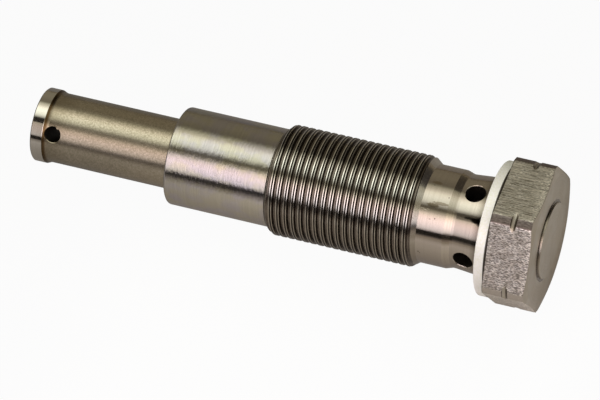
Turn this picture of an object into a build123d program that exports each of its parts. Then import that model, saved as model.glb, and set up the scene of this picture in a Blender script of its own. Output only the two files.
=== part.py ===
from build123d import *
import math
import os

# Screw-in hydraulic timing chain tensioner, millimetres.
# The tensioner's axis is X. The hexagon head points to +X, the plunger to -X, +Z is up.
# The origin is on the axis, in the face under the head that the seal ring lies against.

# Hexagon head, 26.7 mm across its flats for a 27 mm spanner: it just covers the seal ring
head_over_seal = 0.15
head_height = 8.6
head_corner_reach = 1.6
head_edge_drop = 0.45
head_face_setback = 0.35
boss_d = 15.0
boss_height = 0.5
boss_foot_radius = 0.2
corner_groove_x = 4.5
corner_groove_radius = 0.62
corner_groove_depth = 0.45

# Seal ring, which has to pass over the thread
seal_width = 2.1
seal_thickness = 2.25
seal_over_thread = 0.15
seal_on_land = 0.1
seal_land_setback = 0.3
seal_edge_radius = 0.15

# Neck, plain land and thread. The neck's cone ends just past its oil holes, in a short waist
neck_taper = 0.55
neck_foot_radius = 0.6
waist_length = 0.5
flare_length = 1.4
flare_step = 0.45
land_length = 5.25
land_below_thread = 1.325
runout_length = 1.75
thread_d = 21.9
thread_length = 28.95
nose_length = 20.6
nose_below_thread = 1.3
nose_edge_radius = 0.5
blend_radius = 0.8

# Oil holes through the neck
oil_hole_d = 4.0
oil_hole_x = -5.6
oil_hole_count = 4
oil_hole_deburr = 0.15
oil_hole_edge = 0.25

# Plunger
stem_d = 13.8
guide_step = 0.4
guide_length = 13.0
plunger_wall = 1.4
plunger_reach = 28.65
flange_step = 0.4
flange_width = 2.45
shoulder_length = 0.9
tip_chamfer = 0.2
guide_chamfer = 0.3
cross_hole_d = 3.2
cross_hole_from_tip = 4.45
cross_hole_angle = 39.0
plunger_web = 2.4

# Running clearances, on the radius
guide_clearance = 0.03
stop_ring_on_stem = 0.1
spring_in_plunger = 0.25
filler_in_spring = 0.4
filler_head_in_plunger = 0.5
ball_in_cage = 0.3
cage_in_housing = 0.43

# Stop ring in its groove
stop_ring_wire_d = 0.9
stop_ring_inset = 3.3
stop_ring_gap_angle = 40.0
stop_ring_float = 0.05
stop_gap = 0.1

# Housing bores, measured from the head's underside
plunger_bore_end_x = -15.5
valve_seat_length = 5.0
valve_seat_step = 1.33
supply_bore_d = 8.0
supply_bore_end_x = 2.0
drill_point_angle = 118.0
mouth_chamfer = 0.3

# Check valve
seat_hole_d = 3.0
seat_cone_depth = 0.8
ball_d = 5.0
ball_seat_gap = 0.03
ball_lift = 0.8
cage_sheet = 0.6
cage_length = 6.2
cage_bend_radius = 0.5
cage_slot_width = 1.6
cage_slot_count = 4
cage_hole_d = 1.8
valve_spring_wire_d = 0.3
valve_spring_turns = 3
valve_spring_small_r = 1.25
valve_spring_large_r = 2.2

# Plunger spring, with one closed turn at each end, ground flat
spring_wire_d = 1.3
spring_open_turns = 13
spring_closed_pitch = 1.33
spring_seat_gap = 0.05

# Filler pin and throttle pin
filler_head_thickness = 1.2
filler_head_edge = 0.25
filler_slot_width = 1.5
filler_slot_depth = 0.6
filler_clear_of_cage = 2.5
filler_tip_chamfer = 0.8
throttle_d = 2.4
throttle_flat = 0.25
throttle_inset = 0.3

# Travel
travel_margin = 0.2

# Places along the axis
neck_end_x = oil_hole_x - oil_hole_d / 2 - oil_hole_edge
waist_x = neck_end_x - waist_length
land_right_x = waist_x - flare_length
land_left_x = land_right_x - land_length
thread_right_x = land_left_x - runout_length
thread_left_x = thread_right_x - thread_length
nose_end_x = thread_left_x - nose_length
tip_x = nose_end_x - plunger_reach
shoulder_x = tip_x + flange_width + shoulder_length
travel = nose_end_x - shoulder_x - travel_margin
stop_ring_x = nose_end_x + stop_ring_inset
cross_hole_x = tip_x + cross_hole_from_tip
plunger_floor_x = cross_hole_x + cross_hole_d / 2 + plunger_web
cage_flange_x = plunger_bore_end_x - cage_sheet
cage_end_x = plunger_bore_end_x - cage_length
supply_start_x = plunger_bore_end_x + valve_seat_length

# Radii that follow from the fits
thread_r = thread_d / 2
seal_bore_r = thread_r + seal_over_thread
seal_outer_r = seal_bore_r + seal_width
seal_land_r = seal_bore_r - seal_on_land
head_flat_r = seal_outer_r + head_over_seal
head_turned_r = head_flat_r + head_corner_reach
head_face_r = head_flat_r - head_face_setback
nose_r = thread_r - nose_below_thread
land_r = thread_r - land_below_thread
waist_r = land_r - flare_step
neck_top_r = waist_r + neck_taper
stem_r = stem_d / 2
guide_r = stem_r + guide_step
flange_r = stem_r + flange_step
plunger_bore_r = stem_r - plunger_wall
housing_bore_r = guide_r + guide_clearance
valve_seat_r = housing_bore_r - valve_seat_step
cage_flange_r = housing_bore_r - cage_in_housing
stop_wire_r = stop_ring_wire_d / 2
stop_ring_r = stem_r + stop_ring_on_stem + stop_wire_r
stop_groove_r = stop_ring_r + stop_wire_r + stop_ring_float
spring_r = plunger_bore_r - spring_in_plunger - spring_wire_d / 2
filler_r = spring_r - spring_wire_d / 2 - filler_in_spring
filler_head_r = plunger_bore_r - filler_head_in_plunger
cage_inner_r = ball_d / 2 + ball_in_cage
cage_outer_r = cage_inner_r + cage_sheet


def turned(*outline):
    """A solid turned about X from a closed outline of (x, radius) or (x, radius, corner radius)."""
    points = [(p[0], p[1]) for p in outline]
    rounds = [p[2] if len(p) > 2 else 0 for p in outline]
    return revolve(make_face(FilletPolyline(*points, radius=rounds, close=True)), Axis.X)


def rod(x_from, x_to, radius):
    """A plain round bar along X."""
    return turned((x_from, 0), (x_from, radius), (x_to, radius), (x_to, 0))


def coil(x_from, x_to, turns, radius_from, radius_to, wire_d):
    """A round wire wound about X, with its centre line between two planes."""
    length = x_to - x_from
    taper = math.degrees(math.atan2(radius_to - radius_from, length))
    path = Helix(pitch=length / turns, height=length, radius=radius_from, cone_angle=taper)
    section = Plane(origin=path @ 0, z_dir=path % 0) * Circle(wire_d / 2)
    wire = sweep(section, path=path, is_frenet=True)
    return Pos(x_from, 0, 0) * (Rot(0, 90, 0) * wire)


# Housing


def head():
    """The hexagon with turned corners, a chamfered end face with a boss, and the corner groove."""
    hexagon = extrude(Plane.YZ * RegularPolygon(head_flat_r, 6, major_radius=False), head_height)
    blank = turned(
        (0, 0),
        (0, head_turned_r),
        (head_height - head_edge_drop, head_turned_r),
        (head_height, head_face_r),
        (head_height, 0),
    )
    groove_r = head_turned_r - corner_groove_depth + corner_groove_radius
    groove = revolve(Pos(corner_groove_x, groove_r) * Circle(corner_groove_radius), Axis.X)
    boss_top = head_height + boss_height
    boss = rod(0, boss_top, boss_d / 2) + turned(
        (head_height, 0),
        (head_height, boss_d / 2 + boss_foot_radius),
        (head_height + boss_foot_radius, boss_d / 2),
        (head_height + boss_foot_radius, 0),
    )
    return (hexagon & blank) - groove + boss


def shank():
    """Everything turned below the head: seal land, conical neck, plain land, thread and nose."""
    return turned(
        (nose_end_x, 0),
        (nose_end_x, nose_r, nose_edge_radius),
        (thread_left_x, nose_r),
        (thread_left_x + nose_below_thread, thread_r),
        (thread_right_x, thread_r),
        (land_left_x, land_r),
        (land_right_x, land_r, blend_radius),
        (waist_x, waist_r, blend_radius),
        (neck_end_x, waist_r),
        (seal_land_setback - seal_thickness, neck_top_r, neck_foot_radius),
        (seal_land_setback - seal_thickness, seal_land_r),
        (0, seal_land_r),
        (0, 0),
    )


def bores():
    """The stepped bore: mouth, plunger bore with the stop ring's groove, seat counterbore, supply chamber."""
    point = supply_bore_d / 2 / math.tan(math.radians(drill_point_angle / 2))
    stepped = turned(
        (nose_end_x, 0),
        (nose_end_x, housing_bore_r + mouth_chamfer),
        (nose_end_x + mouth_chamfer, housing_bore_r),
        (plunger_bore_end_x, housing_bore_r),
        (plunger_bore_end_x, valve_seat_r),
        (supply_start_x, valve_seat_r),
        (supply_start_x, supply_bore_d / 2),
        (supply_bore_end_x, supply_bore_d / 2),
        (supply_bore_end_x + point, 0),
    )
    half_width = stop_wire_r + stop_ring_float
    groove = rod(stop_ring_x - half_width, stop_ring_x + half_width, stop_groove_r)
    return stepped + groove


def oil_holes():
    """Radial holes from the neck into the supply chamber."""
    hole = Pos(oil_hole_x, 0, 0) * extrude(Circle(oil_hole_d / 2), thread_d)
    return [Rot(i * 360 / oil_hole_count, 0, 0) * hole for i in range(oil_hole_count)]


def housing():
    body = shank() + head() - bores()
    for hole in oil_holes():
        body -= hole
    neck = body.faces().filter_by(GeomType.CONE).sort_by(lambda f: abs(f.center().X - oil_hole_x))[0]
    rims = [edge for wire in neck.inner_wires() for edge in wire.edges()]
    return chamfer(rims, oil_hole_deburr)


# Plunger


def plunger():
    """Hollow pin: guide collar at the inner end, plain stem, shoulder and flange at the tip."""
    guide_start = stop_ring_x + stop_wire_r + stop_gap
    inner_end = guide_start + guide_length
    body = turned(
        (tip_x, 0),
        (tip_x, flange_r - tip_chamfer),
        (tip_x + tip_chamfer, flange_r),
        (tip_x + flange_width, flange_r, shoulder_length / 2),
        (shoulder_x, stem_r),
        (guide_start, stem_r),
        (guide_start, guide_r),
        (inner_end - guide_chamfer, guide_r),
        (inner_end, guide_r - guide_chamfer),
        (inner_end, 0),
    )
    cavity = rod(plunger_floor_x, inner_end, plunger_bore_r)
    passage = rod(cross_hole_x, plunger_floor_x, throttle_d / 2)
    across = Cylinder(cross_hole_d / 2, flange_r * 4)
    turn = Rot(90 - cross_hole_angle, 0, 0)
    return body - cavity - passage - Pos(cross_hole_x, 0, 0) * (turn * across)


def throttle_pin():
    """Pin with a flat, in the passage between the plunger's bore and the cross hole."""
    start = cross_hole_x + cross_hole_d / 2 + throttle_inset
    pin = rod(start, plunger_floor_x, throttle_d / 2)
    flat = Pos((start + plunger_floor_x) / 2, 0, throttle_d - throttle_flat)
    return pin - flat * Box(plunger_web * 2, throttle_d, throttle_d)


def filler_pin():
    """Headed pin that stands on the plunger's floor inside the spring, slotted for oil."""
    start = plunger_floor_x
    tip = cage_end_x - travel - filler_clear_of_cage
    pin = turned(
        (start, 0),
        (start, filler_head_r, filler_head_edge),
        (start + filler_head_thickness, filler_head_r, filler_head_edge),
        (start + filler_head_thickness, filler_r),
        (tip - filler_tip_chamfer, filler_r),
        (tip, filler_r - filler_tip_chamfer),
        (tip, 0),
    )
    slot = Box(filler_slot_depth * 2, filler_head_r * 3, filler_slot_width)
    return pin - Pos(start, 0, 0) * slot


# Retaining ring and seal


def stop_ring():
    """Open round-wire ring that the guide collar meets when the plunger is out."""
    section = Pos(stop_ring_x, stop_ring_r) * Circle(stop_wire_r)
    return revolve(section, Axis.X, 360 - stop_ring_gap_angle)


def seal_ring():
    """Flat aluminium ring against the underside of the head."""
    edge = seal_edge_radius
    return turned(
        (-seal_thickness, seal_bore_r, edge),
        (-seal_thickness, seal_outer_r, edge),
        (0, seal_outer_r, edge),
        (0, seal_bore_r, edge),
    )


# Check valve


def valve_seat():
    """Ring pressed in the counterbore, with a drilled hole and a conical seat towards the plunger."""
    face = plunger_bore_end_x
    hole = seat_hole_d / 2
    return turned(
        (face, hole + seat_cone_depth),
        (face, valve_seat_r),
        (supply_start_x, valve_seat_r),
        (supply_start_x, hole),
        (face + seat_cone_depth, hole),
    )


def ball_centre_x():
    """Where a ball rests in the 45 degree cone: its contact circle lies ball radius times cos 45 out."""
    contact = ball_d / 2 * math.cos(math.radians(45))
    mouth = seat_hole_d / 2 + seat_cone_depth
    return plunger_bore_end_x + mouth - 2 * contact - ball_seat_gap


def valve_ball():
    return Pos(ball_centre_x(), 0, 0) * Sphere(ball_d / 2)


def valve_cage():
    """Sheet cup over the ball with a flange against the seat, oil slots round it and a hole in its end."""
    outer, inner, sheet = cage_outer_r, cage_inner_r, cage_sheet
    cup = turned(
        (cage_end_x, 0),
        (cage_end_x, outer, cage_bend_radius + sheet / 2),
        (cage_flange_x, outer),
        (cage_flange_x, cage_flange_r),
        (plunger_bore_end_x, cage_flange_r),
        (plunger_bore_end_x, inner),
        (cage_end_x + sheet, inner, cage_bend_radius - sheet / 2),
        (cage_end_x + sheet, 0),
    )
    cup -= rod(cage_end_x, cage_end_x + sheet, cage_hole_d / 2)
    slot_length = cage_length - 3 * sheet
    slot = Box(slot_length, cage_slot_width, outer)
    place = Pos(cage_end_x + sheet + slot_length / 2, 0, outer)
    for i in range(cage_slot_count):
        cup -= Rot(i * 360 / cage_slot_count, 0, 0) * (place * slot)
    return cup


def valve_spring():
    """Small conical coil between the cage's end and the ball."""
    wire_r = valve_spring_wire_d / 2
    reach = valve_spring_small_r + wire_r
    ball_side = ball_centre_x() - math.sqrt((ball_d / 2) ** 2 - valve_spring_small_r ** 2)
    start = cage_end_x + cage_sheet + ball_seat_gap + wire_r
    end = ball_side - ball_seat_gap - wire_r
    return coil(start, end, valve_spring_turns, valve_spring_large_r, reach, valve_spring_wire_d)


# Plunger spring


def plunger_spring():
    """The main coil, from the filler pin's head to the cage's flange. Whole turns start under the axis."""
    start = plunger_floor_x + filler_head_thickness + spring_seat_gap
    end = cage_flange_x - spring_seat_gap
    opens = start + spring_closed_pitch
    closes = end - spring_closed_pitch
    wire = coil(start, opens, 1, spring_r, spring_r, spring_wire_d)
    wire += coil(opens, closes, spring_open_turns, spring_r, spring_r, spring_wire_d)
    wire += coil(closes, end, 1, spring_r, spring_r, spring_wire_d)
    for bend in (opens, closes):
        wire += Pos(bend, 0, -spring_r) * Sphere(spring_wire_d / 2)
    return wire & rod(start, end, spring_r + spring_wire_d)


os.makedirs("parts", exist_ok=True)
export_step(housing(), "parts/housing.step")
export_step(seal_ring(), "parts/seal_ring.step")
export_step(plunger(), "parts/plunger.step")
export_step(throttle_pin(), "parts/throttle_pin.step")
export_step(filler_pin(), "parts/filler_pin.step")
export_step(plunger_spring(), "parts/plunger_spring.step")
export_step(stop_ring(), "parts/stop_ring.step")
export_step(valve_seat(), "parts/valve_seat.step")
export_step(valve_ball(), "parts/valve_ball.step")
export_step(valve_spring(), "parts/valve_spring.step")
export_step(valve_cage(), "parts/valve_cage.step")

print("travel", round(travel, 3), "nose end", nose_end_x, "tip", round(tip_x, 3))
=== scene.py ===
import math

import bpy
import numpy as np
from mathutils import Matrix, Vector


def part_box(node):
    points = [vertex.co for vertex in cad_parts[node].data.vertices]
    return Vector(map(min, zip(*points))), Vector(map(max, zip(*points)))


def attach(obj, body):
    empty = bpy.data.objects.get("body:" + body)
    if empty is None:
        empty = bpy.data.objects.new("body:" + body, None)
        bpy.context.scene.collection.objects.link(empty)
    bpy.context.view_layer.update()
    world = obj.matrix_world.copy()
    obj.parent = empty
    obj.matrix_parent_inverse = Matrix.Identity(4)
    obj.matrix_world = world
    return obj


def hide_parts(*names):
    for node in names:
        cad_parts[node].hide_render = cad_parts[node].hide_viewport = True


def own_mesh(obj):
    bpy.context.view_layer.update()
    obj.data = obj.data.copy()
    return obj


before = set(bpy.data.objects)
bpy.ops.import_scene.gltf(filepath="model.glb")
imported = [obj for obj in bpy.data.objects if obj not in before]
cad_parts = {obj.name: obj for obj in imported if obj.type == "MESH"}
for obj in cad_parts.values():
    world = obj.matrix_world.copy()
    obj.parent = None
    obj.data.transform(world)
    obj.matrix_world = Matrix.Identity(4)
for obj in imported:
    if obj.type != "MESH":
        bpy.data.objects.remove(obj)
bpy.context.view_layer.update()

# Housing
# One turned steel bar: a smooth nose, a rolled thread, a plain land and a drilled conical neck below
# a milled hexagon. Its stepped bore carries the plunger, the check valve and the oil supply chamber.
# All shapes are in millimetres, with X along the axis, and are made metres as they go into a mesh.

mm = 0.001
columns = 120
even = np.linspace(0, 2 * np.pi, columns + 1)


def rounded(corners, steps=4):
    """Outline through (x, radius, fillet) corners, each value a number or one for each column.

    A corner becomes an arc tangent to both of its sides: it starts fillet / tan(half the inner angle)
    from the corner, its centre lies fillet / sin(half) along the bisector, and its points are the
    circular blend of the first and the last spoke.
    """
    spots = [np.stack(np.broadcast_arrays(*[np.asarray(v, float) for v in c[:2]]), -1) for c in corners]
    shape = np.broadcast_shapes(*[s.shape for s in spots])
    spots = [np.broadcast_to(s, shape) for s in spots]
    rows = [spots[0][None]]
    for before, here, after, corner in zip(spots, spots[1:], spots[2:], corners[1:]):
        if len(corner) < 3:
            rows.append(here[None])
            continue
        back = (before - here) / np.linalg.norm(before - here, axis=-1, keepdims=True)
        ahead = (after - here) / np.linalg.norm(after - here, axis=-1, keepdims=True)
        half = np.arccos((back * ahead).sum(-1, keepdims=True)) / 2
        turn = np.pi - 2 * half
        bisector = (back + ahead) / np.linalg.norm(back + ahead, axis=-1, keepdims=True)
        centre = here + bisector * corner[2] / np.sin(half)
        first = here + back * corner[2] / np.tan(half) - centre
        last = here + ahead * corner[2] / np.tan(half) - centre
        share = np.linspace(0, 1, steps + 1).reshape(-1, *[1] * len(shape))
        arc = np.sin((1 - share) * turn) * first + np.sin(share * turn) * last
        rows.append(centre + arc / np.sin(turn))
    rows.append(spots[-1][None])
    return np.concatenate(rows)


def lathe(outline, angles=even):
    """Outline points (x, r) carried round X: y = r cos(angle), z = r sin(angle)."""
    if outline.ndim == 2:
        outline = outline[:, None, :]
    x, r, angle = np.broadcast_arrays(outline[..., 0], outline[..., 1], angles)
    return np.stack([x, r * np.cos(angle), r * np.sin(angle)], -1)


def grid_normals(points):
    """Unit cross product of the grid's two difference directions, wrapped where the columns close."""
    down = np.gradient(points, axis=0)
    over = np.gradient(points, axis=1)
    if np.allclose(points[:, 0], points[:, -1], atol=1e-6):
        over[:, 0] = over[:, -1] = points[:, 1] - points[:, -2]
    normal = np.cross(over, down)
    length = np.linalg.norm(normal, axis=-1, keepdims=True)
    normal = normal / np.maximum(length, 1e-12)
    for end, beside in ((0, 1), (-1, -2)):
        if length[end].max() < 1e-9:
            normal[end] = normal[beside].mean(axis=0)
    return normal


def patch(points, finish=0, normals=None, chart=None):
    """A grid of points with its normals, a finish for each face and a chart whose u runs down the rows."""
    down, over = points.shape[:2]
    if normals is None:
        normals = grid_normals(points)
    if chart is None:
        chart = np.stack(np.meshgrid(np.linspace(0, 1, down), np.linspace(0, 1, over), indexing="ij"), -1)
    return points, normals, np.broadcast_to(finish, (down - 1, over - 1)), chart


def skin(name, patches, finishes, body, *nodes):
    """One closed mesh from patches: equal points are merged and faces that close up are dropped."""
    points, normals, kinds, charts, quads = [], [], [], [], []
    start = 0
    for grid, normal, finish, chart in patches:
        down, over = grid.shape[:2]
        at = start + np.arange(down * over).reshape(down, over)
        quads.append(np.stack([at[:-1, :-1], at[:-1, 1:], at[1:, 1:], at[1:, :-1]], -1).reshape(-1, 4))
        points.append(grid.reshape(-1, 3))
        normals.append(normal.reshape(-1, 3))
        charts.append(chart.reshape(-1, 2))
        kinds.append(finish.reshape(-1))
        start += down * over
    points, normals, charts = map(np.concatenate, (points, normals, charts))
    quads, kinds = np.concatenate(quads), np.concatenate(kinds)
    spots, merged = np.unique(np.round(points, 4) + 0.0, axis=0, return_inverse=True)
    merged = merged.reshape(-1)
    same = merged[quads] == merged[np.roll(quads, -1, axis=1)]
    whole = quads[same.sum(1) == 0]
    closing = same.sum(1) == 1
    keep = ~same[closing]
    thirds = quads[closing][keep].reshape(-1, 3)
    corners = np.concatenate([whole.reshape(-1), thirds.reshape(-1)])
    mesh = bpy.data.meshes.new(name)
    mesh.from_pydata(spots * mm, [], merged[whole].tolist() + merged[thirds].tolist())
    kind = np.concatenate([kinds[same.sum(1) == 0], kinds[closing]]).astype(np.int32)
    mesh.polygons.foreach_set("material_index", kind)
    mesh.polygons.foreach_set("use_smooth", np.ones(len(kind), bool))
    around = mesh.uv_layers.new(name="turning")
    around.data.foreach_set("uv", charts[corners].astype(np.float32).reshape(-1))
    mesh.normals_split_custom_set(normals[corners])
    for finish in finishes:
        mesh.materials.append(finish)
    piece = bpy.data.objects.new(name, mesh)
    bpy.context.collection.objects.link(piece)
    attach(piece, body)
    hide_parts(*nodes)
    return piece


def colour(hexadecimal):
    """Linear RGBA of an sRGB hex colour."""
    srgb = [int(hexadecimal[i:i + 2], 16) / 255 for i in (1, 3, 5)]
    return [c / 12.92 if c <= 0.04045 else ((c + 0.055) / 1.055) ** 2.4 for c in srgb] + [1.0]


def add(tree, kind, inputs=None, **settings):
    """Adds a node, sets its properties, and sets or links its inputs."""
    node = tree.nodes.new(kind)
    for name, value in settings.items():
        setattr(node, name, value)
    for socket, value in (inputs or {}).items():
        if isinstance(value, bpy.types.NodeSocket):
            tree.links.new(value, node.inputs[socket])
        else:
            node.inputs[socket].default_value = value
    return node


def metal(name, roughness, anisotropic=0.0):
    """A new material with a metallic shader, and the node tree it stands in."""
    material = bpy.data.materials.new(name)
    material.use_nodes = True
    tree = material.node_tree
    shader = tree.nodes["Principled BSDF"]
    shader.inputs["Metallic"].default_value = 1.0
    shader.inputs["Roughness"].default_value = roughness
    if anisotropic:
        shader.inputs["Anisotropic"].default_value = anisotropic
        tangent = add(tree, "ShaderNodeTangent", direction_type="UV_MAP", uv_map="turning")
        tree.links.new(tangent.outputs[0], shader.inputs["Tangent"])
    return material, tree, shader


def streaks(tree, across, along, detail=2.0):
    """Noise in object space with one size in millimetres along X and another round the axis."""
    place = add(tree, "ShaderNodeTexCoord").outputs["Object"]
    scale = (1 / (along * mm), 1 / (across * mm), 1 / (across * mm))
    mapping = add(tree, "ShaderNodeMapping", {"Vector": place, "Scale": scale})
    noise = {"Vector": mapping.outputs[0], "Scale": 1.0, "Detail": detail}
    return add(tree, "ShaderNodeTexNoise", noise).outputs["Fac"]


def between(tree, factor, low, high, dark, light):
    """A colour that goes from dark to light as factor goes from low to high."""
    share = add(tree, "ShaderNodeMapRange", {"Value": factor, "From Min": low, "From Max": high})
    blend = {0: share.outputs[0], 6: colour(dark), 7: colour(light)}
    return add(tree, "ShaderNodeMix", blend, data_type="RGBA").outputs[2]


def coordinates(tree):
    """The X, Y and Z of a point of the surface in the part's frame, in metres."""
    place = add(tree, "ShaderNodeTexCoord").outputs["Object"]
    return add(tree, "ShaderNodeSeparateXYZ", {0: place}).outputs


def toned(tree, base, tone, place, start, end, strength=1.0):
    """The base colour, with the tone coming in as the place goes from start to end in millimetres."""
    limits = {"From Min": start * mm, "From Max": end * mm, "To Max": strength}
    share = add(tree, "ShaderNodeMapRange", {"Value": place, **limits}).outputs[0]
    return add(tree, "ShaderNodeMix", {0: share, 6: base, 7: colour(tone)}, data_type="RGBA").outputs[2]


def blot(tree, x, degrees, radius, length, width, ragged=0.0):
    """1 within an oval of the surface at that place, 0 beyond it, with a ragged edge from noise."""
    angle = math.radians(degrees)
    centre = (x * mm, radius * math.cos(angle) * mm, radius * math.sin(angle) * mm)
    place = add(tree, "ShaderNodeTexCoord").outputs["Object"]
    offset = add(tree, "ShaderNodeVectorMath", {0: place, 1: centre}, operation="SUBTRACT")
    scale = (1 / (length * mm), 1 / (width * mm), 1 / (width * mm))
    scaled = add(tree, "ShaderNodeVectorMath", {0: offset.outputs[0], 1: scale}, operation="MULTIPLY")
    reach = add(tree, "ShaderNodeVectorMath", {0: scaled.outputs[0]}, operation="LENGTH").outputs["Value"]
    frayed = {0: streaks(tree, 0.3, 0.3, 3.0), 1: 2 * ragged, 2: reach}
    uneven = add(tree, "ShaderNodeMath", frayed, operation="MULTIPLY_ADD").outputs[0]
    rim = {"From Min": 1.2 + ragged, "From Max": 0.8 + ragged}
    return add(tree, "ShaderNodeMapRange", {"Value": uneven, **rim}).outputs[0]


def marked(tree, base, marks):
    """The base colour with (tone, strength, cover) marks laid over it."""
    for tone, strength, cover in marks:
        share = add(tree, "ShaderNodeMath", {0: cover, 1: strength}, operation="MULTIPLY").outputs[0]
        base = add(tree, "ShaderNodeMix", {0: share, 6: base, 7: colour(tone)}, data_type="RGBA").outputs[2]
    return base


def finished(tree, shader, tone, relief=None, depth=0.0):
    """Gives the shader its colour and, where there is one, a relief so many millimetres deep."""
    tree.links.new(tone, shader.inputs["Base Color"])
    if relief is not None:
        bump = add(tree, "ShaderNodeBump", {"Height": relief, "Strength": 1.0, "Distance": depth * mm})
        tree.links.new(bump.outputs[0], shader.inputs["Normal"])


# Ground and turned steel: sharp bands round the bar, drawn out along it by fine turning lines. The
# land is paler and smoother, with painted shade on its low side, and a painted shadow of the seal
# darkens the neck beside it. The real lines are finer, and are drawn 0.22 mm wide so that they show.
ground_gloss, land_gloss = 0.215, 0.16
ground_steel, tree, shader = metal("ground_steel", ground_gloss, 0.97)
lines = streaks(tree, 30, 0.22)
tint = streaks(tree, 3, 4, 3.0)
spot = coordinates(tree)
line_tone = between(tree, lines, 0.3, 0.7, "#ada9a2", "#bfbbb4")
tint_tone = between(tree, tint, 0.42, 0.58, "#bab29c", "#b4acb2")
nose_tone = add(tree, "ShaderNodeMix", {0: 0.5, 6: line_tone, 7: tint_tone}, data_type="RGBA").outputs[2]
land_tone = between(tree, lines, 0.3, 0.7, "#b9afa4", "#c1b7ac")
# painted shade: the land darker towards its low side
land_tone = toned(tree, land_tone, "#8f8578", spot["Z"], 4.6, 3.6, 0.35)
under_thread = {"From Min": -20 * mm, "From Max": -16 * mm}
on_land = add(tree, "ShaderNodeMapRange", {"Value": spot["X"], **under_thread}).outputs[0]
tone = add(tree, "ShaderNodeMix", {0: on_land, 6: nose_tone, 7: land_tone}, data_type="RGBA").outputs[2]
# painted shadow of the seal on the neck beside it
tone = toned(tree, tone, "#40352a", spot["X"], -4.4, -2.4, 0.8)

# Its marks, by x and degrees round the axis: nearly black blots in the neck's dark band by the seal, an
# oil stain on the land, small pits, and nicks on the land, nose and neck, painted near white as glints
skin_r = 9.6
marks = [("#0d0906", 0.97, blot(tree, -2.9, 124.8, 9.63, 0.9, 0.85, 0.3)),
         ("#0d0906", 0.97, blot(tree, -3.9, 124.3, 9.54, 1.0, 0.5, 0.3)),
         ("#1a1410", 0.8, blot(tree, -5.2, 122.9, 9.42, 1.2, 0.25, 0.3)),
         ("#6e5f45", 0.75, blot(tree, -12.7, 117.5, skin_r, 1.1, 0.45, 0.6)),
         ("#6a5a44", 0.6, blot(tree, -11.2, 114, skin_r, 1.6, 0.3, 0.6)),
         ("#8c7a52", 0.5, blot(tree, -13.2, 89, skin_r, 0.9, 0.35, 0.5))]
pits = ((-11.75, 132, 0.13), (-12.7, 133.5, 0.1), (-7.4, 130.5, 0.12), (-8.2, 135, 0.1), (-14.4, 179, 0.16),
        (-14.1, 180.5, 0.12), (-13.6, 93, 0.12), (-10.1, 105, 0.12), (-9.0, 96, 0.18), (-6.1, -163, 0.15))
nicks = ((-14.6, 122.8, 0.5, 0.07), (-14.0, 124.0, 0.4, 0.07), (-13.4, 122.9, 0.35, 0.07),
         (-60.9, 149.6, 0.1, 0.3), (-60.4, 150.2, 0.07, 0.25), (-59.6, 149.9, 0.1, 0.2),
         (-50.6, 150.5, 0.2, 0.1), (-7.75, 91.5, 0.14, 0.12))
for x, degrees, size in pits:
    marks.append(("#3d332c", 0.75, blot(tree, x, degrees, skin_r, size, size, 0.3)))
for x, degrees, length, width in nicks:
    # painted glints: the nicks are drawn near white
    marks.append(("#fbf4ec", 0.9, blot(tree, x, degrees, skin_r, length, width, 0.2)))
tree.links.new(marked(tree, tone, marks), shader.inputs["Base Color"])
grain = streaks(tree, 1.4, 0.25, 3.0)
relief = add(tree, "ShaderNodeMath", {0: lines, 1: 0.1, 2: grain}, operation="MULTIPLY_ADD").outputs[0]
depth = add(tree, "ShaderNodeMapRange", {"Value": on_land, "To Min": 1.0, "To Max": 0.1}).outputs[0]
bump = add(tree, "ShaderNodeBump", {"Height": relief, "Strength": depth, "Distance": 0.045 * mm})
tree.links.new(bump.outputs[0], shader.inputs["Normal"])
gloss = add(tree, "ShaderNodeMapRange", {"Value": on_land, "To Min": ground_gloss, "To Max": land_gloss})
tree.links.new(gloss.outputs[0], shader.inputs["Roughness"])

# Recess behind the land: the same steel with a brown oil film left in it
filmed_steel, tree, shader = metal("oil_filmed_recess_steel", ground_gloss, 0.97)
finished(tree, shader, between(tree, streaks(tree, 30, 0.22), 0.3, 0.7, "#b3a99b", "#bdb3a5"))

# Rolled thread: the dies leave bright burnished lips, with painted shade making them duller low down.
# Oil residue and painted shade darken the flanks and roots, and the seam between the lips is painted
# nearly black as shade in its crease.
lip_steel, tree, shader = metal("burnished_thread_lip", 0.2, 0.9)
tone = between(tree, streaks(tree, 3, 3), 0.35, 0.65, "#d3cec5", "#e0dbd2")
# painted shade: the lips darker low down
finished(tree, shader, toned(tree, tone, "#a39a8d", coordinates(tree)["Z"], 6.5, 3))
# the valley tone is partly oil residue, partly painted shade in recesses
valley_steel, tree, shader = metal("oil_stained_and_shaded_valley", 0.26, 0.6)
tone = between(tree, streaks(tree, 1.5, 1.5), 0.35, 0.65, "#635b53", "#746b62")
stain = blot(tree, -39.7, 179.3, 10.6, 0.7, 0.5, 0.4)
finished(tree, shader, marked(tree, tone, [("#1c1714", 0.9, stain)]))
# painted shade: the seam between the lips nearly black, as in a crease
seam_steel, tree, shader = metal("thread_seam_steel", 0.3, 0.6)
finished(tree, shader, between(tree, streaks(tree, 2, 2), 0.35, 0.65, "#2f2b27", "#453f39"))

# Milled flats: pale and scored along the bar by the cutter. The flats towards the front are rougher,
# with short torn marks painted near white as glints, and all are chipped along the end chamfer, with
# painted glints on the chips. The lower flats carry a painted pale sheen.
milled_steel, tree, shader = metal("milled_steel", 0.4)
scores = streaks(tree, 0.12, 3, 5.0)
torn = streaks(tree, 0.15, 0.5, 6.0)
coarse = streaks(tree, 0.9, 1.6, 3.0)
spot = coordinates(tree)
scored_tone = between(tree, scores, 0.4, 0.58, "#6a6459", "#e2dbcf")
dull_tone = between(tree, torn, 0.4, 0.62, "#6f6860", "#e0d8cd")
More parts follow.
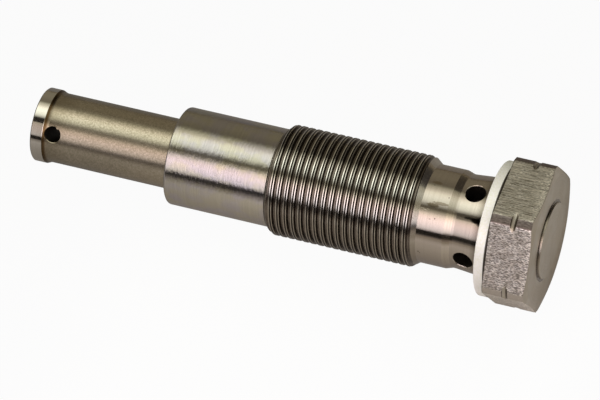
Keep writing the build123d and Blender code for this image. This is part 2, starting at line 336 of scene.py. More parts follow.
# painted glints: the torn marks reach near white
torn_glint_tone = between(tree, torn, 0.4, 0.62, "#77706a", "#fffaf2")
patchy = add(tree, "ShaderNodeMapRange", {"Value": coarse, "From Min": 0.44, "From Max": 0.6}).outputs[0]
blend = {0: patchy, 6: dull_tone, 7: torn_glint_tone}
front_tone = add(tree, "ShaderNodeMix", blend, data_type="RGBA").outputs[2]
towards_front = {"From Min": -6.6 * mm, "From Max": -7.4 * mm}
front_flat = add(tree, "ShaderNodeMapRange", {"Value": spot["Y"], **towards_front}).outputs[0]
unevenly = {"From Min": 0.46, "From Max": 0.66, "To Min": 0.3, "To Max": 0.7}
uneven = add(tree, "ShaderNodeMapRange", {"Value": coarse, **unevenly}).outputs[0]
roughened = add(tree, "ShaderNodeMath", {0: front_flat, 1: uneven}, operation="MAXIMUM").outputs[0]
share = add(tree, "ShaderNodeMath", {0: roughened, 1: 0.9}, operation="MULTIPLY").outputs[0]
tone = add(tree, "ShaderNodeMix", {0: share, 6: scored_tone, 7: front_tone}, data_type="RGBA").outputs[2]
by_chamfer = {"From Min": 6.6 * mm, "From Max": 8.1 * mm}
near_end = add(tree, "ShaderNodeMapRange", {"Value": spot["X"], **by_chamfer}).outputs[0]
# painted glints along the chipped edge by the end chamfer
chipped_glints = add(tree, "ShaderNodeMapRange", {"Value": torn, "From Min": 0.48, "From Max": 0.6}).outputs[0]
tone = marked(tree, tone, [("#fdf6ec", near_end, chipped_glints)])
# painted light: the lower flats paler
tone = toned(tree, tone, "#fff8ee", spot["Z"], 0.5, -1, 0.35)
relief = add(tree, "ShaderNodeMix", {0: share, 2: scores, 3: torn}, data_type="FLOAT").outputs[0]
finished(tree, shader, tone, relief, 0.016)

# Turned corners of the hexagon: a dull lilac steel with a fine grain, and a painted pale sheen low down
corner_steel, tree, shader = metal("turned_corner_steel", 0.3)
grain = streaks(tree, 0.25, 0.6, 4.0)
tone = between(tree, grain, 0.3, 0.7, "#625856", "#978c87")
# painted light: paler low down
finished(tree, shader, toned(tree, tone, "#d8cec4", coordinates(tree)["Z"], 2.5, 1, 0.55), grain, 0.008)

# Faced end: satin with concentric turning lines, drawn coarser than the real ones so that they show,
# and browner low down with painted shade
faced_steel, tree, shader = metal("faced_steel", 0.36, 0.6)
place = add(tree, "ShaderNodeTexCoord").outputs["Object"]
across = add(tree, "ShaderNodeVectorMath", {0: place, 1: (0, 1, 1)}, operation="MULTIPLY").outputs[0]
from_axis = add(tree, "ShaderNodeVectorMath", {0: across}, operation="LENGTH").outputs["Value"]
rings = add(tree, "ShaderNodeTexNoise", {"W": from_axis, "Scale": 1 / (0.35 * mm), "Detail": 4.0},
            noise_dimensions="1D").outputs["Fac"]
ring_tone = between(tree, rings, 0.3, 0.7, "#a8a195", "#b8b1a5")
cloud_tone = between(tree, streaks(tree, 3, 3, 3.0), 0.35, 0.65, "#a69b88", "#b6b0a6")
tone = add(tree, "ShaderNodeMix", {0: 0.5, 6: ring_tone, 7: cloud_tone}, data_type="RGBA").outputs[2]
# painted shade: the end face darker low down
finished(tree, shader, toned(tree, tone, "#a2937c", coordinates(tree)["Z"], -2, -11, 0.5), rings, 0.002)

# Drilled and reamed bores: dull and dark with oil, and painted darker as shade inside them
bore_steel, tree, shader = metal("oiled_and_shaded_bore_steel", 0.5)
finished(tree, shader, between(tree, streaks(tree, 1.2, 0.5, 3.0), 0.35, 0.65, "#413d37", "#544f48"))

housing_finishes = [ground_steel, filmed_steel, lip_steel, seam_steel, valley_steel, milled_steel,
                    corner_steel, faced_steel, bore_steel]
GROUND, FILM, LIP, SEAM, VALLEY, MILLED, CORNER, FACED, BORE = range(9)


def x_ends(node):
    """A solid's lowest and highest X at rest in millimetres, to a hundredth."""
    low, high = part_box(node)
    return round(low[0] / mm, 2), round(high[0] / mm, 2)


nose_left_x, boss_top_x = x_ends("housing")
seal_left_x, seal_right_x = x_ends("seal_ring")
seal_setback, neck_top_r, seal_land_r = 0.3, 9.725, 11.0
neck_top_x = seal_left_x + seal_setback
neck_left_x, waist_left_x, land_right_x, land_left_x = -7.85, -8.35, -9.75, -15.0
waist_r, land_r, nose_r, crest_r = 9.175, 9.625, 9.65, 10.95
thread_left_x, mouth_chamfer = -45.7, 0.3
bore_r, bore_end_x, seat_r, supply_r, supply_left_x = 7.33, -15.5, 6.0, 4.0, -10.5

mouth_x = nose_left_x + mouth_chamfer
nose = rounded([(mouth_x, bore_r), (nose_left_x, bore_r + mouth_chamfer, 0.05), (nose_left_x, nose_r, 0.5),
                (thread_left_x, nose_r)])
land = rounded([(land_left_x, land_r), (land_right_x, land_r, 0.15), (waist_left_x, waist_r, 0.15),
                (neck_left_x, waist_r)])


def thread():
    """A rolled ridge wound round the bar: x = left end + pitch (turn + share), angle = 2 pi turn.

    The metal that the dies pushed up meets in two polished lips with a dark seam between them. The
    radius is the root plus the ridge's height at that share of the pitch, cut off by the end chamfer
    and by the cone where the dies ran out. Points beyond an end close up on its circle. The ridge
    starts one and a half turns before the left end, so that the chamfer cuts into a whole turn.
    """
    pitch, root_r, crest_at, runout_slope = 1.5, 10.21, 1.07, 0.757
    lip_height, seam_half = 0.62, 0.2
    ridge = rounded([(-0.75, 0), (-0.6, 0, 0.1), (-0.37, 0.63, 0.04), (-0.16, 0.68, 0.04),
                     (0.01, 0.54, 0.03), (0.2, 0.67, 0.04), (0.34, 0.61, 0.04), (0.53, 0, 0.1),
                     (0.75, 0)], steps=2)
    last = math.ceil((land_left_x - thread_left_x) / pitch * columns)
    turns = np.arange(-1.5 * columns, last + 1) / columns
    x = np.clip(thread_left_x + pitch * turns + ridge[:, :1] + crest_at, thread_left_x, land_left_x)
    chamfer = nose_r + (x - thread_left_x)
    runout = land_r + (land_left_x - x) * runout_slope
    uncut = root_r + ridge[:, 1:]
    r = np.minimum(uncut, np.minimum(chamfer, runout))
    angle = 2 * np.pi * turns[None, :]
    middle = (ridge[1:] + ridge[:-1])[:, None] / 2
    in_seam = np.abs(middle[..., 0]) < seam_half
    finish = np.where(middle[..., 1] > lip_height, LIP, np.where(in_seam, SEAM, VALLEY))
    on_cone = runout < np.minimum(uncut, chamfer)
    finish = np.where(on_cone[1:, 1:] & on_cone[:-1, :-1], LIP, finish)
    return np.stack([x, r * np.cos(angle), r * np.sin(angle)], -1), finish


def burr(turn, at=0.0, size=0.0):
    """How far a burr left by the drill stands in from the rim: a bell of about 9 degrees round it."""
    return size * np.exp(-((turn - at) / 0.15) ** 2)


def holed_band(radius_at, x_from, x_to, hole_x, hole_angle, half_sector, rim_r, rows=9, ends=8, burred=()):
    """Part of a turned surface round a drilled hole, from the edge of its sector in to the hole's rim.

    The rim is x = hole_x + rim_r cos(turn), angle = hole_angle + asin(rim_r sin(turn) / radius), and
    the rows run straight from the sector's edge to it in x and angle, on the turned surface.
    """
    sides = round(2 * half_sector / (2 * np.pi / columns))
    up, along = np.arange(sides) / sides, np.arange(ends) / ends
    edge_x = np.concatenate([0 * up, along, 0 * up + 1, 1 - along, [0]]) * (x_to - x_from) + x_from
    edge_a = np.concatenate([2 * up - 1, 0 * along + 1, 1 - 2 * up, 0 * along - 1, [-1]]) * half_sector
    third = np.pi / 3
    turn = np.concatenate([4 * third - 2 * third * up, 2 * third - third * along, third - 2 * third * up,
                           -third - third * along, [-2 * third]])
    rim_r = rim_r - burr(turn, *burred)
    rim_x = hole_x + rim_r * np.cos(turn)
    rim_a = np.arcsin(rim_r * np.sin(turn) / radius_at(rim_x))
    share = np.linspace(0, 1, rows + 1)[:, None]
    x = edge_x + (rim_x - edge_x) * share
    angle = hole_angle + edge_a + (rim_a - edge_a) * share
    r = radius_at(x)
    slope = (radius_at(x + 0.01) - radius_at(x - 0.01)) / 0.02
    points = np.stack([x, r * np.cos(angle), r * np.sin(angle)], -1)
    normals = np.stack([-slope, np.cos(angle), np.sin(angle)], -1) / np.sqrt(1 + slope ** 2)[..., None]
    return points, normals, np.stack([x / 10, angle / (2 * np.pi)], -1), turn


def hole_wall(outer_r_at, inner_r_at, hole_x, hole_angle, rim_r, turn, deburr, burred=()):
    """A drilled hole's wall below a turned surface, with its rim broken by a small cone.

    A rim lies at height sqrt(surface radius^2 - side^2) along the hole, with side = radius sin(turn).
    The wall ends at the inner surface, or at the far rim where the hole goes right through.
    """
    def ring(radius, height_at, drop=0, way=1):
        x, side = hole_x + radius * np.cos(turn), radius * np.sin(turn)
        height = way * (np.sqrt(height_at(x) ** 2 - side ** 2) - drop)
        y = height * np.cos(hole_angle) - side * np.sin(hole_angle)
        z = height * np.sin(hole_angle) + side * np.cos(hole_angle)
        return np.stack([x, y, z], -1)
    top = ring(rim_r + deburr - burr(turn, *burred), outer_r_at)
    edge = ring(rim_r - burr(turn, *burred), outer_r_at, deburr)
    foot = ring(rim_r, inner_r_at) if inner_r_at else ring(rim_r, outer_r_at, deburr, -1)
    return np.stack([top, edge]), np.stack([edge, foot])


def neck_r_at(x):
    """The neck's cone: its radius grows evenly from the waist to the seat for the seal."""
    return waist_r + (x - neck_left_x) * (neck_top_r - waist_r) / (neck_top_x - neck_left_x)


def supply_r_at(x):
    """The supply chamber: one radius all along."""
    return supply_r + 0 * x


oil_hole_x, oil_hole_r, oil_hole_deburr, band_right_x = -5.6, 2.0, 0.12, -3.3
quarter = np.pi / 2
land_middle = (land[1:, 0] + land[:-1, 0]) / 2
in_recess = (land_middle > land_right_x - 0.1) & (land_middle < waist_left_x + 0.1)
land_finish = np.where(in_recess, FILM, GROUND)[:, None]
body = [patch(lathe(nose)), patch(*thread()), patch(lathe(land), land_finish)]

# Two of the oil holes keep a burr, given by its place round the rim and its height
burrs = {1: (math.radians(165), 0.14), 2: (math.radians(100), 0.16)}
for hole in range(4):
    angle, burred = quarter * hole, burrs.get(hole, ())
    outer_rim = oil_hole_r + oil_hole_deburr
    sector = (neck_left_x, band_right_x, oil_hole_x, angle, quarter / 2)
    points, normals, chart, turn = holed_band(neck_r_at, *sector, outer_rim, burred=burred)
    body.append(patch(points, GROUND, normals, chart))
    rim, wall = hole_wall(neck_r_at, supply_r_at, oil_hole_x, angle, oil_hole_r, turn, oil_hole_deburr,
                          burred)
    body += [patch(rim), patch(wall, BORE)]
    points, normals, chart, turn = holed_band(supply_r_at, *sector, oil_hole_r)
    body.append(patch(points[:, ::-1], BORE, -normals[:, ::-1]))
foot = rounded([(band_right_x, neck_r_at(band_right_x)), (neck_top_x, neck_top_r, 0.6),
                (neck_top_x, seal_land_r, 0.05), (0, seal_land_r)])
body.append(patch(lathe(foot)))

# The hexagon's columns crowd towards its turned corners. Its wall is the smaller of the flat,
# flat / cos(angle), and the turned corner with its groove, with a soft change between them.
flat_r, corner_r, corner_from = 13.35, 14.95, 26.75
head_end_x, face_r, end_chamfer = 8.6, 13.0, 0.45
underside_r, face_inner_r, boss_field_r, boss_r = 12.0, 12.4, 9.5, 7.5
groove_x, groove_r, groove_centre_r, groove_reach = 4.5, 0.62, 15.12, 0.72
sixth = np.pi / 3
half_flat = np.radians([0, 8, 15, 20, 21, 22.5, 24, 25.8, corner_from, 27.4, 30])
one_flat = np.concatenate([-half_flat[:0:-1], half_flat[:-1]])
crowded = np.append((sixth * (np.arange(6)[:, None] + 0.5) + one_flat).reshape(-1), 2 * np.pi)
flat_reach = flat_r / np.cos(crowded % sixth - sixth / 2)


def softer(a, b, blend):
    """The smaller of two lengths, eased over about the blend."""
    return (a + b - np.sqrt((a - b) ** 2 + blend ** 2)) / 2


def hexagon():
    """Rows from the underside over the wall and the end chamfer to the end face, and the wall's last row.

    The groove is a round channel: radius = centre - sqrt(groove radius^2 - distance along X^2). The
    wall ends halfway round the chamfer's lower edge.
    """
    wall_r = softer(flat_reach, corner_r, 0.04)
    x = np.linspace(-groove_reach, groove_reach, 33)[:, None] + groove_x
    cut = groove_centre_r - np.sqrt(np.maximum(groove_r ** 2 - (x - groove_x) ** 2, 0))
    grooved = softer(wall_r, cut, 0.03)
    edge_x = head_end_x - end_chamfer * (wall_r - face_r) / (corner_r - face_r)
    lower = rounded([(0, underside_r + 0 * wall_r), (0, wall_r, 0.12), (x[0, 0], wall_r)])
    middle = np.stack([np.broadcast_to(x, grooved.shape), grooved], -1)
    upper = rounded([(x[-1, 0], wall_r), (edge_x, wall_r, 0.12), (head_end_x, face_r + 0 * wall_r, 0.4),
                     (head_end_x, face_inner_r + 0 * wall_r)])
    outline = np.concatenate([lower[:-1], middle, upper[1:]])
    return outline, len(lower) - 1 + len(middle) + 2


# Painted shade darkens the rounded lower edge, which is four rows of faces, as a painted shadow line
# against the seal, and the groove's sides. The groove's floor is bare steel.
wall, end_row = hexagon()
face_columns = (crowded[:-1] + crowded[1:]) / 2
on_flat = np.abs(face_columns % sixth - sixth / 2) < np.radians(corner_from)
finish = np.full((len(wall) - 1, columns), FACED)
finish[1:end_row] = np.where(on_flat, MILLED, CORNER)
# painted shadow line under the head, in the seam's near-black tone
finish[1:5] = SEAM
wall_x, wall_r = np.moveaxis((wall[1:, :-1] + wall[:-1, 1:]) / 2, -1, 0)
in_groove = (np.abs(wall_x - groove_x) < groove_r) & (wall_r.max(0) - wall_r > 0.04)
on_floor = (wall_x > groove_x - 0.5) & (wall_x < groove_x + 0.1)
# painted shade on the groove's sides
finish[in_groove] = VALLEY
finish[in_groove & on_floor] = FACED
underside = np.array([[0, seal_land_r], [0, underside_r]])
body.append(patch(lathe(underside, np.stack([even, crowded])), FACED))
body.append(patch(lathe(wall, crowded), finish))
end_face = np.array([[head_end_x, face_inner_r], [head_end_x, 11.0], [head_end_x, boss_field_r]])
body.append(patch(lathe(end_face, np.stack([crowded, (crowded + even) / 2, even])), FACED))
boss = rounded([(head_end_x, boss_field_r), (head_end_x, boss_r + 0.6), (head_end_x, boss_r, 0.2),
                (boss_top_x, boss_r, 0.12), (boss_top_x, 0)])
# painted shade round the boss's foot and side, in the valley tone
shaded_boss_foot = (boss[1:, 1] < boss_r + 0.3) & (boss[1:, 0] < boss_top_x - 0.15)
body.append(patch(lathe(boss), np.where(shaded_boss_foot, VALLEY, FACED)[:, None]))

# The bore, from the drill's point in the head out to the mouth
drill_point_x, drill_shoulder_x = 4.4, 2
ring_x, ring_groove_r, ring_half = sum(x_ends("stop_ring")) / 2, 7.95, 0.5
chamber = rounded([(drill_point_x, 0), (drill_shoulder_x, supply_r), (band_right_x, supply_r)])
bore = rounded([(neck_left_x, supply_r), (supply_left_x, supply_r), (supply_left_x, seat_r),
                (bore_end_x, seat_r), (bore_end_x, bore_r), (ring_x + ring_half, bore_r),
                (ring_x + ring_half, ring_groove_r), (ring_x - ring_half, ring_groove_r),
                (ring_x - ring_half, bore_r), (mouth_x, bore_r)])
body += [patch(lathe(chamber), BORE), patch(lathe(bore), BORE)]
housing = skin("threaded_housing", body, housing_finishes, "housing", "housing")

# Seal ring
# A soft aluminium ring, stamped and tumbled to a pale matt skin that hardly shines, loose on the
# relief under the head. A painted shadow line darkens it where it meets the head.

seal_metal, tree, shader = metal("tumbled_aluminium", 0.42)
shader.inputs["Metallic"].default_value = 0.2
speck = streaks(tree, 0.4, 0.4)
tone = between(tree, speck, 0.35, 0.65, "#f7f8ee", "#ffffff")
# painted shadow line: the seal darkens over its last 0.35 mm towards the head
finished(tree, shader, toned(tree, tone, "#38322b", coordinates(tree)["X"], -0.45, -0.35), speck, 0.006)
seal_inner_r, seal_outer_r, seal_edge = 11.1, 13.2, 0.2
seal_middle_x = (seal_left_x + seal_right_x) / 2
ring = rounded([(seal_middle_x, seal_inner_r), (seal_left_x, seal_inner_r, seal_edge),
                (seal_left_x, seal_outer_r, seal_edge), (seal_right_x, seal_outer_r, seal_edge),
                (seal_right_x, seal_inner_r, seal_edge), (seal_middle_x, seal_inner_r)])
seal = skin("seal_washer", [patch(lathe(ring))], [seal_metal], "housing", "seal_ring")

# Check valve
# A pressed-in hardened seat, a bearing ball, a light conical spring and a sheet cage over them.
# These pieces keep their own solids. Only the wound spring is made again, as a smooth wire.

# Hardened and ground steel is satin grey, the lapped ball shines like a mirror, and drawn spring wire
# is darker, with a faint sheen
inner_steel, tree, shader = metal("hardened_steel", 0.3)
finished(tree, shader, between(tree, streaks(tree, 3, 1), 0.3, 0.7, "#9c9890", "#aca79d"))
ball_steel, tree, shader = metal("polished_ball_steel", 0.06)
finished(tree, shader, between(tree, streaks(tree, 2, 2), 0.3, 0.7, "#cfcdc9", "#d8d6d2"))
wire_steel, tree, shader = metal("drawn_wire_steel", 0.28)
finished(tree, shader, between(tree, streaks(tree, 0.8, 0.8), 0.3, 0.7, "#6f6c68", "#85817b"))


def dress(node, finish):
    """Gives a solid its finish and the slot that it belongs to."""
    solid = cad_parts[node]
    solid.data.materials.clear()
    solid.data.materials.append(finish)


for node in ("valve_seat", "valve_cage"):
    dress(node, inner_steel)
dress("valve_ball", ball_steel)


def wound_wire(turns, x_at, radius_at, wire_r, first_angle, steps=48, sides=14):
    """Round wire on a coil, with both ends closed.

    Its centre is (x, R cos a, R sin a) at angle a. Round that stands the wire's radius times
    cos(side) outwards plus sin(side) along the coil's own side direction.
    """
    t = np.linspace(0, turns, round(turns * steps) + 1)
    angle = first_angle + 2 * np.pi * t
    radius = radius_at(t)
    centre = np.stack([x_at(t), radius * np.cos(angle), radius * np.sin(angle)], -1)
    outward = np.stack([0 * t, np.cos(angle), np.sin(angle)], -1)
    tangent = np.gradient(centre, axis=0)
    tangent /= np.linalg.norm(tangent, axis=1, keepdims=True)
    sideways = np.cross(tangent, outward)
    turn = np.linspace(0, 2 * np.pi, sides + 1)[:, None]
    points = centre[:, None] + wire_r * (np.cos(turn) * outward[:, None] + np.sin(turn) * sideways[:, None])
    return np.concatenate([centre[:1, None] + 0 * points[:1], points, centre[-1:, None] + 0 * points[-1:]])


valve_spring_turns, valve_wire_r, valve_spring_wide_r, valve_spring_ball_r = 3, 0.15, 2.2, 1.4
valve_spring_left_x, valve_spring_right_x = x_ends("valve_spring")


def valve_spring_x(t):
    """The wire's middle moves on evenly along X, half a wire in from both ends."""
    stops = [valve_spring_left_x + valve_wire_r, valve_spring_right_x - valve_wire_r]
    return np.interp(t, [0, valve_spring_turns], stops)


def valve_spring_radius(t):
    """The cone's radius shrinks evenly from the wide end to the ball."""
    return np.interp(t, [0, valve_spring_turns], [valve_spring_wide_r, valve_spring_ball_r])


light_coil = wound_wire(valve_spring_turns, valve_spring_x, valve_spring_radius, valve_wire_r, -quarter)
valve_spring = skin("valve_coil", [patch(light_coil)], [wire_steel], "housing", "valve_spring")
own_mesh(valve_spring)

# Plunger
# A hollow hardened pin, ground and left with a brown heat skin, with painted shade darkening it towards
# its flange. A polished flange ends it, with a cross hole just behind, and a guide collar at its inner end
# stops it against the ring in the nose.

plunger_steel, tree, shader = metal("browned_hardened_steel", 0.25)
mottle = streaks(tree, 0.35, 0.35, 4.0)
along_pin = coordinates(tree)["X"]
tone = between(tree, mottle, 0.3, 0.7, "#9f9581", "#bfb4a2")
# painted shade: the heat skin darker towards the flange, darkest at its foot
tone = toned(tree, tone, "#7d6f57", along_pin, -87, -91.5, 0.45)
tone = toned(tree, tone, "#5f4b31", along_pin, -91.7, -92.1)
finished(tree, shader, tone, mottle, 0.0009)

# Flange: polished by the chain rail that it pushes on, so it mirrors the lamps in crisp bands
flange_steel, tree, shader = metal("polished_flange_steel", 0.1)
finished(tree, shader, between(tree, streaks(tree, 20, 0.2), 0.3, 0.7, "#cec7bd", "#d5cfc5"))

# Foot of the flange: golden-brown painted shade in the corner that the grinding wheel can't reach,
# and the same dark tone on the flange's small chamfer as a painted dark edge line
foot_steel, tree, shader = metal("shaded_flange_foot", 0.3)
finished(tree, shader, between(tree, streaks(tree, 0.5, 0.5), 0.3, 0.7, "#44351f", "#6e5a3c"))

STEM, FLANGE, FOOT, PASSAGE = range(4)
tip_x, guide_right_x = x_ends("plunger")
flange_x, shoulder_x, guide_left_x, stem_r, flange_outer_r = -92.5, -91.6, -62.45, 6.9, 7.3
plunger_bore_r, plunger_floor_x, passage_r, passage_end_x = 5.5, -86.5, 1.2, -88.6
tip_chamfer, guide_chamfer = 0.2, 0.3
cross_x, cross_r, cross_deburr, cross_angle = -90.5, 1.6, 0.1, np.radians(141)
around_cross = (-92.3, -88.65)

shoulder = rounded([(tip_x, flange_outer_r), (flange_x, flange_outer_r, 0.45), (shoulder_x, stem_r, 0.25),
                    (guide_left_x, stem_r)], steps=8)


def plunger_r_at(x):
    """The stem's radius, with the foot of the flange, read from the shoulder's outline."""
    return np.interp(x, shoulder[:, 0], shoulder[:, 1])


tip = rounded([(tip_x, 0), (tip_x, flange_outer_r - tip_chamfer, 0.05),
               (tip_x + tip_chamfer, flange_outer_r, 0.05), (flange_x, flange_outer_r, 0.45),
               (around_cross[0], plunger_r_at(around_cross[0]))], steps=6)
tip_middle = (tip[1:, 0] + tip[:-1, 0]) / 2
# painted dark edge line: the flange's chamfer takes the foot's shade tone
on_chamfer = (tip_middle > tip_x + 0.1 * tip_chamfer) & (tip_middle < tip_x + 0.9 * tip_chamfer)
tip_finish = np.where((tip_middle < flange_x + 0.01) & ~on_chamfer, FLANGE, FOOT)[:, None]
stem = rounded([(around_cross[1], stem_r), (guide_left_x, stem_r), (guide_left_x, flange_outer_r, 0.05),
                (guide_right_x - guide_chamfer, flange_outer_r, 0.05),
                (guide_right_x, flange_outer_r - guide_chamfer, 0.05), (guide_right_x, plunger_bore_r)])
cavity = rounded([(guide_right_x, plunger_bore_r), (plunger_floor_x, plunger_bore_r),
                  (plunger_floor_x, passage_r), (passage_end_x, passage_r), (passage_end_x, 0)])
pin = [patch(lathe(tip), tip_finish), patch(lathe(stem), STEM), patch(lathe(cavity), PASSAGE)]

# The cross hole goes right through, so it has two rims and one wall. A burr stands at the front rim.
for angle, burred in ((cross_angle, (math.radians(-62), 0.3)), (cross_angle + np.pi, ())):
    points, normals, chart, turn = holed_band(plunger_r_at, *around_cross, cross_x, angle, quarter,
                                              cross_r + cross_deburr, rows=16, burred=burred)
    pin.append(patch(points, STEM, normals, chart))
    rim, wall = hole_wall(plunger_r_at, None, cross_x, angle, cross_r, turn, cross_deburr, burred)
    pin.append(patch(rim, STEM))
pin.append(patch(wall, PASSAGE))
plunger_finishes = [plunger_steel, flange_steel, foot_steel, bore_steel]
plunger = skin("flanged_plunger", pin, plunger_finishes, "plunger", "plunger")
dress("throttle_pin", inner_steel)

# Filler pin and plunger spring
# The pin stands on the plunger's floor and takes up oil volume. The spring is wound from round
# oil-hardened wire with one closed turn at each end, ground flat, and pushes on the pin's head.

dress("filler_pin", inner_steel)
spring_left_x, spring_right_x = x_ends("plunger_spring")
spring_turns, spring_r, wire_r, closed_pitch = 15, 4.6, 0.65, 1.33


def main_spring_x(t):
    """One closed turn at each end, and an even pitch between them."""
    stops = [spring_left_x, spring_left_x + closed_pitch, spring_right_x - closed_pitch, spring_right_x]
    return np.interp(t, [0, 1, spring_turns - 1, spring_turns], stops)


main_coil = wound_wire(spring_turns, main_spring_x, lambda t: spring_r + 0 * t, wire_r, -quarter)
main_coil[..., 0] = np.clip(main_coil[..., 0], spring_left_x, spring_right_x)
main_spring = skin("main_coil", [patch(main_coil)], [wire_steel], "housing", "plunger_spring")
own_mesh(main_spring)

# Stop ring
# An open ring of round spring wire, snapped into its groove near the mouth of the nose.

ring_turns, ring_centre_r, ring_wire_r = 320 / 360, 7.45, 0.45
open_ring = wound_wire(ring_turns, lambda t: ring_x + 0 * t, lambda t: ring_centre_r + 0 * t, ring_wire_r, 0,
                       steps=90)
stop_ring = skin("wire_stop_ring", [patch(open_ring)], [wire_steel], "housing", "stop_ring")

# Floor
# A pale matt sheet, tilted to the lie of the part on one flat of its head and the end of its thread.
# Its colour holds painted light and shade: a painted pool of light just in front of the part, painted
# shade behind it and far out in front, lifted again beyond the head, and dimmer past the nose. The lens
# sees it nearly white, with what is left of the shadow, and the metal sees some of that white too.


def ramp(tree, factor, stops):
    """The colour at factor, read between (position, colour) stops."""
    node = add(tree, "ShaderNodeValToRGB", {"Fac": factor})
    for position, _ in stops[1:-1]:
        node.color_ramp.elements.new(position)
    for element, (position, tone) in zip(node.color_ramp.elements, stops):
        element.position = position
        element.color = colour(tone)
    return node.outputs["Color"]


def sheet(name, corners, finish):
    """A flat staged quad."""
    mesh = bpy.data.meshes.new(name)
    mesh.from_pydata(np.array(corners) * mm, [], [[0, 1, 2, 3]])
    mesh.materials.append(finish)
    piece = bpy.data.objects.new(name, mesh)
    bpy.context.collection.objects.link(piece)
    return piece


camera_white, gleam_white = 0.96, 0.15
paper = bpy.data.materials.new("matt_white_paper")
paper.use_nodes = True
tree = paper.node_tree
tree.nodes.clear()
spot = coordinates(tree)
# painted light: beyond the head's end the painted shadow behind the part gives way to the lit tone
beside_head = {"From Min": 4 * mm, "From Max": 30 * mm, "To Max": -90 * mm}
beyond = add(tree, "ShaderNodeMapRange", {"Value": spot["X"], **beside_head}).outputs[0]
spread = add(tree, "ShaderNodeMath", {0: spot["Y"], 1: beyond}, operation="ADD").outputs[0]
front_to_back = {"From Min": -260 * mm, "From Max": 40 * mm}
depth = add(tree, "ShaderNodeMapRange", {"Value": spread, **front_to_back}).outputs[0]
# painted light and shade: lit just in front of the part, shaded behind it and far out in front
tone = ramp(tree, depth, [(0, "#6f5946"), (0.5, "#b0a89b"), (0.68, "#dfdcdc"), (0.77, "#cdc9c5"),
                          (0.87, "#766a55"), (1, "#665b48")])
# painted shade: the floor dimmer past the nose
past_nose = {"From Min": -85 * mm, "From Max": -60 * mm, "To Min": 0.5}
left = add(tree, "ShaderNodeMapRange", {"Value": spot["X"], **past_nose}).outputs[0]
painted_shade_tone = add(tree, "ShaderNodeVectorMath", {0: tone, "Scale": left}, operation="SCALE").outputs[0]
matt = add(tree, "ShaderNodeBsdfDiffuse", {"Color": painted_shade_tone})
white = add(tree, "ShaderNodeEmission", {"Color": colour("#ffffff"), "Strength": 1.0})
rays = add(tree, "ShaderNodeLightPath").outputs
both = {0: rays["Is Glossy Ray"], 1: rays["Is Transmission Ray"]}
gleam = add(tree, "ShaderNodeMath", both, operation="ADD").outputs[0]
dimmed = add(tree, "ShaderNodeMath", {0: gleam, 1: gleam_white}, operation="MULTIPLY").outputs[0]
seen = {0: rays["Is Camera Ray"], 1: camera_white, 2: dimmed}
share = add(tree, "ShaderNodeMath", seen, operation="MULTIPLY_ADD").outputs[0]
surface = add(tree, "ShaderNodeMixShader", {0: share, 1: matt.outputs[0], 2: white.outputs[0]})
add(tree, "ShaderNodeOutputMaterial", {"Surface": surface.outputs[0]})
rest_x, span = -44.4, 1500
lie = (flat_r - crest_r) / -rest_x
sides = ((-span, -span), (span, -span), (span, span), (-span, span))
sheet("floor", [(x, y, -flat_r - x * lie) for x, y in sides], paper)

# Lamps and room
# Two long soft boxes with bright middles, one overhead and one in front, in a dim warm room with a
# white strip along its foot. A black flag along the front of the table, an olive one low behind it, a
# dark curtain behind on the right and a black card high on the left darken what the metal reflects.


def soft_box(name, peak, along, stops, distance=1.3, length=3.6):
    """An area lamp along X, with (share of its length, glow) stops along it and, across it, (degrees
    up from the front, glow) stops. Both glows are shares of the peak radiance.

    A stop at some angle lies at distance tan(angle - middle) from the lamp's middle line.
    """
    middle = (stops[0][0] + stops[-1][0]) / 2
    reach = math.tan(math.radians(stops[-1][0] - middle))
    lamp = bpy.data.lights.new(name, "AREA")
    lamp.shape = "RECTANGLE"
    lamp.size = length
    lamp.size_y = 2 * distance * reach
    lamp.energy = peak * math.pi * lamp.size * lamp.size_y
    lamp.use_nodes = True
    tree = lamp.node_tree
    place = add(tree, "ShaderNodeSeparateXYZ", {0: add(tree, "ShaderNodeNewGeometry").outputs["Parametric"]})
    spots = [(0.5 + math.tan(math.radians(angle - middle)) / (2 * reach), glow) for angle, glow in stops]
    tree.links.new(ramp(tree, place.outputs["Y"], spots), tree.nodes["Emission"].inputs["Color"])
    tree.links.new(ramp(tree, place.outputs["X"], along), tree.nodes["Emission"].inputs["Strength"])
    away = np.array([0, -math.cos(math.radians(middle)), math.sin(math.radians(middle))])
    turned = np.eye(4)
    turned[:3, 0] = (1, 0, 0)
    turned[:3, 1] = np.cross(away, (1, 0, 0))
    turned[:3, 2] = away
    turned[:3, 3] = away * distance
    box = bpy.data.objects.new(name, lamp)
    box.matrix_world = Matrix(turned)
    box.visible_camera = False
    bpy.context.collection.objects.link(box)


along_overhead = [(0, "#ffffff"), (0.3, "#ffffff"), (0.37, "#e0e0e0"), (0.5, "#d0d0d0"), (1, "#909090")]
over_overhead = [(67.2, "#2e332e"), (72, "#636765"), (76.6, "#9ea29d"), (81, "#b4bab2"), (91, "#cbd0c8"),
                 (96, "#cdd0c7"), (101, "#c9cbc0"), (106, "#b2b1a7"), (111, "#929287"), (116.3, "#7c7c72"),
                 (122, "#3a3e33"), (124, "#292924")]
soft_box("overhead_box", 3.0, along_overhead, over_overhead)
along_front = [(0, "#dcdcdc"), (0.33, "#dcdcdc"), (0.35, "#5a5a5a"), (0.381, "#5a5a5a"), (0.395, "#e7e7e7"),
               (0.44, "#ffffff"), (1, "#ffffff")]
up_front = [(11, "#62606b"), (13.5, "#86838d"), (16, "#a6a4ad"), (18, "#b7b3bc"), (26, "#d2c8d1"),
            (35, "#e2d4da"), (40, "#e2d2d5"), (44, "#ddcdcd"), (49, "#cabfb9"), (53, "#aaa39a"),
            (58, "#7c796f"), (62.6, "#29291d")]
soft_box("front_box", 3.05, along_front, up_front)


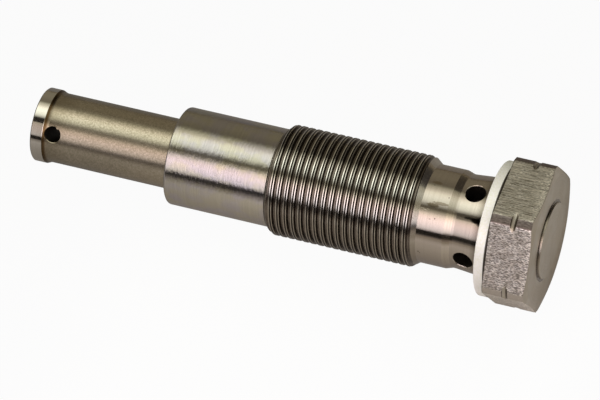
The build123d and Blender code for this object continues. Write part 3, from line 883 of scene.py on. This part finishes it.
def cloth(name, tone):
    """A matt cloth of one tone."""
    material = bpy.data.materials.new(name)
    material.use_nodes = True
    shader = material.node_tree.nodes["Principled BSDF"]
    shader.inputs["Base Color"].default_value = colour(tone)
    shader.inputs["Roughness"].default_value = 0.9
    return material


def flag(name, corners, finish):
    """A staged sheet that only the metal sees."""
    piece = sheet(name, corners, finish)
    piece.visible_camera = False
    piece.visible_shadow = False


black_cloth, olive_cloth = cloth("black_cloth", "#2a2624"), cloth("olive_cloth", "#98917c")
for name, left, far, foot_z, top_z, finish in (("black_flag", -span, -600, -150, 126, black_cloth),
                                               ("olive_flag", -span, 600, -150, 70, olive_cloth),
                                               ("dark_curtain", 20, 640, 70, 1100, black_cloth)):
    flag(name, [(left, far, foot_z), (span, far, foot_z), (span, far, top_z), (left, far, top_z)], finish)
flag("black_card", [(-750, -430, 1160), (-405, -430, 1160), (-405, -735, 995), (-750, -735, 995)],
     black_cloth)

world = bpy.data.worlds.new("room")
bpy.context.scene.world = world
world.use_nodes = True
tree = world.node_tree
tree.nodes.clear()
way = add(tree, "ShaderNodeSeparateXYZ", {0: add(tree, "ShaderNodeTexCoord").outputs["Generated"]})
room = ramp(tree, way.outputs["Z"], [(0.043, "#ffffff"), (0.05, "#857e6d"), (0.5, "#8c8573"),
                                     (0.8, "#7b7566")])
light = add(tree, "ShaderNodeBackground", {"Color": room, "Strength": 1.0})
add(tree, "ShaderNodeOutputWorld", {"Surface": light.outputs[0]})

# Camera
# A long lens above the front right, rolled so that the part slopes down towards its head. The roll
# and the aim follow the part's axis in the picture.

yaw, rise, roll = math.radians(15.15), math.radians(53.4), math.radians(13.05)
distance, aim_x, aim_below = 905, -40.87, 3.2
back = np.array([math.sin(yaw), -math.cos(yaw) * math.cos(rise), math.cos(yaw) * math.sin(rise)])
along = np.array([1.0, 0, 0]) - back[0] * back
along /= np.linalg.norm(along)
above = np.cross(back, along)
aim = np.array([aim_x, 0, 0]) - aim_below * above
place = np.eye(4)
place[:3, 0] = math.cos(roll) * along + math.sin(roll) * above
place[:3, 1] = math.cos(roll) * above - math.sin(roll) * along
place[:3, 2] = back
place[:3, 3] = (aim + distance * back) * mm
lens = bpy.data.cameras.new("lens")
lens.lens = 282
lens.sensor_width = 36
camera = bpy.data.objects.new("camera", lens)
camera.matrix_world = Matrix(place)
bpy.context.collection.objects.link(camera)
bpy.context.scene.camera = camera
bpy.context.scene.view_settings.view_transform = "Standard"
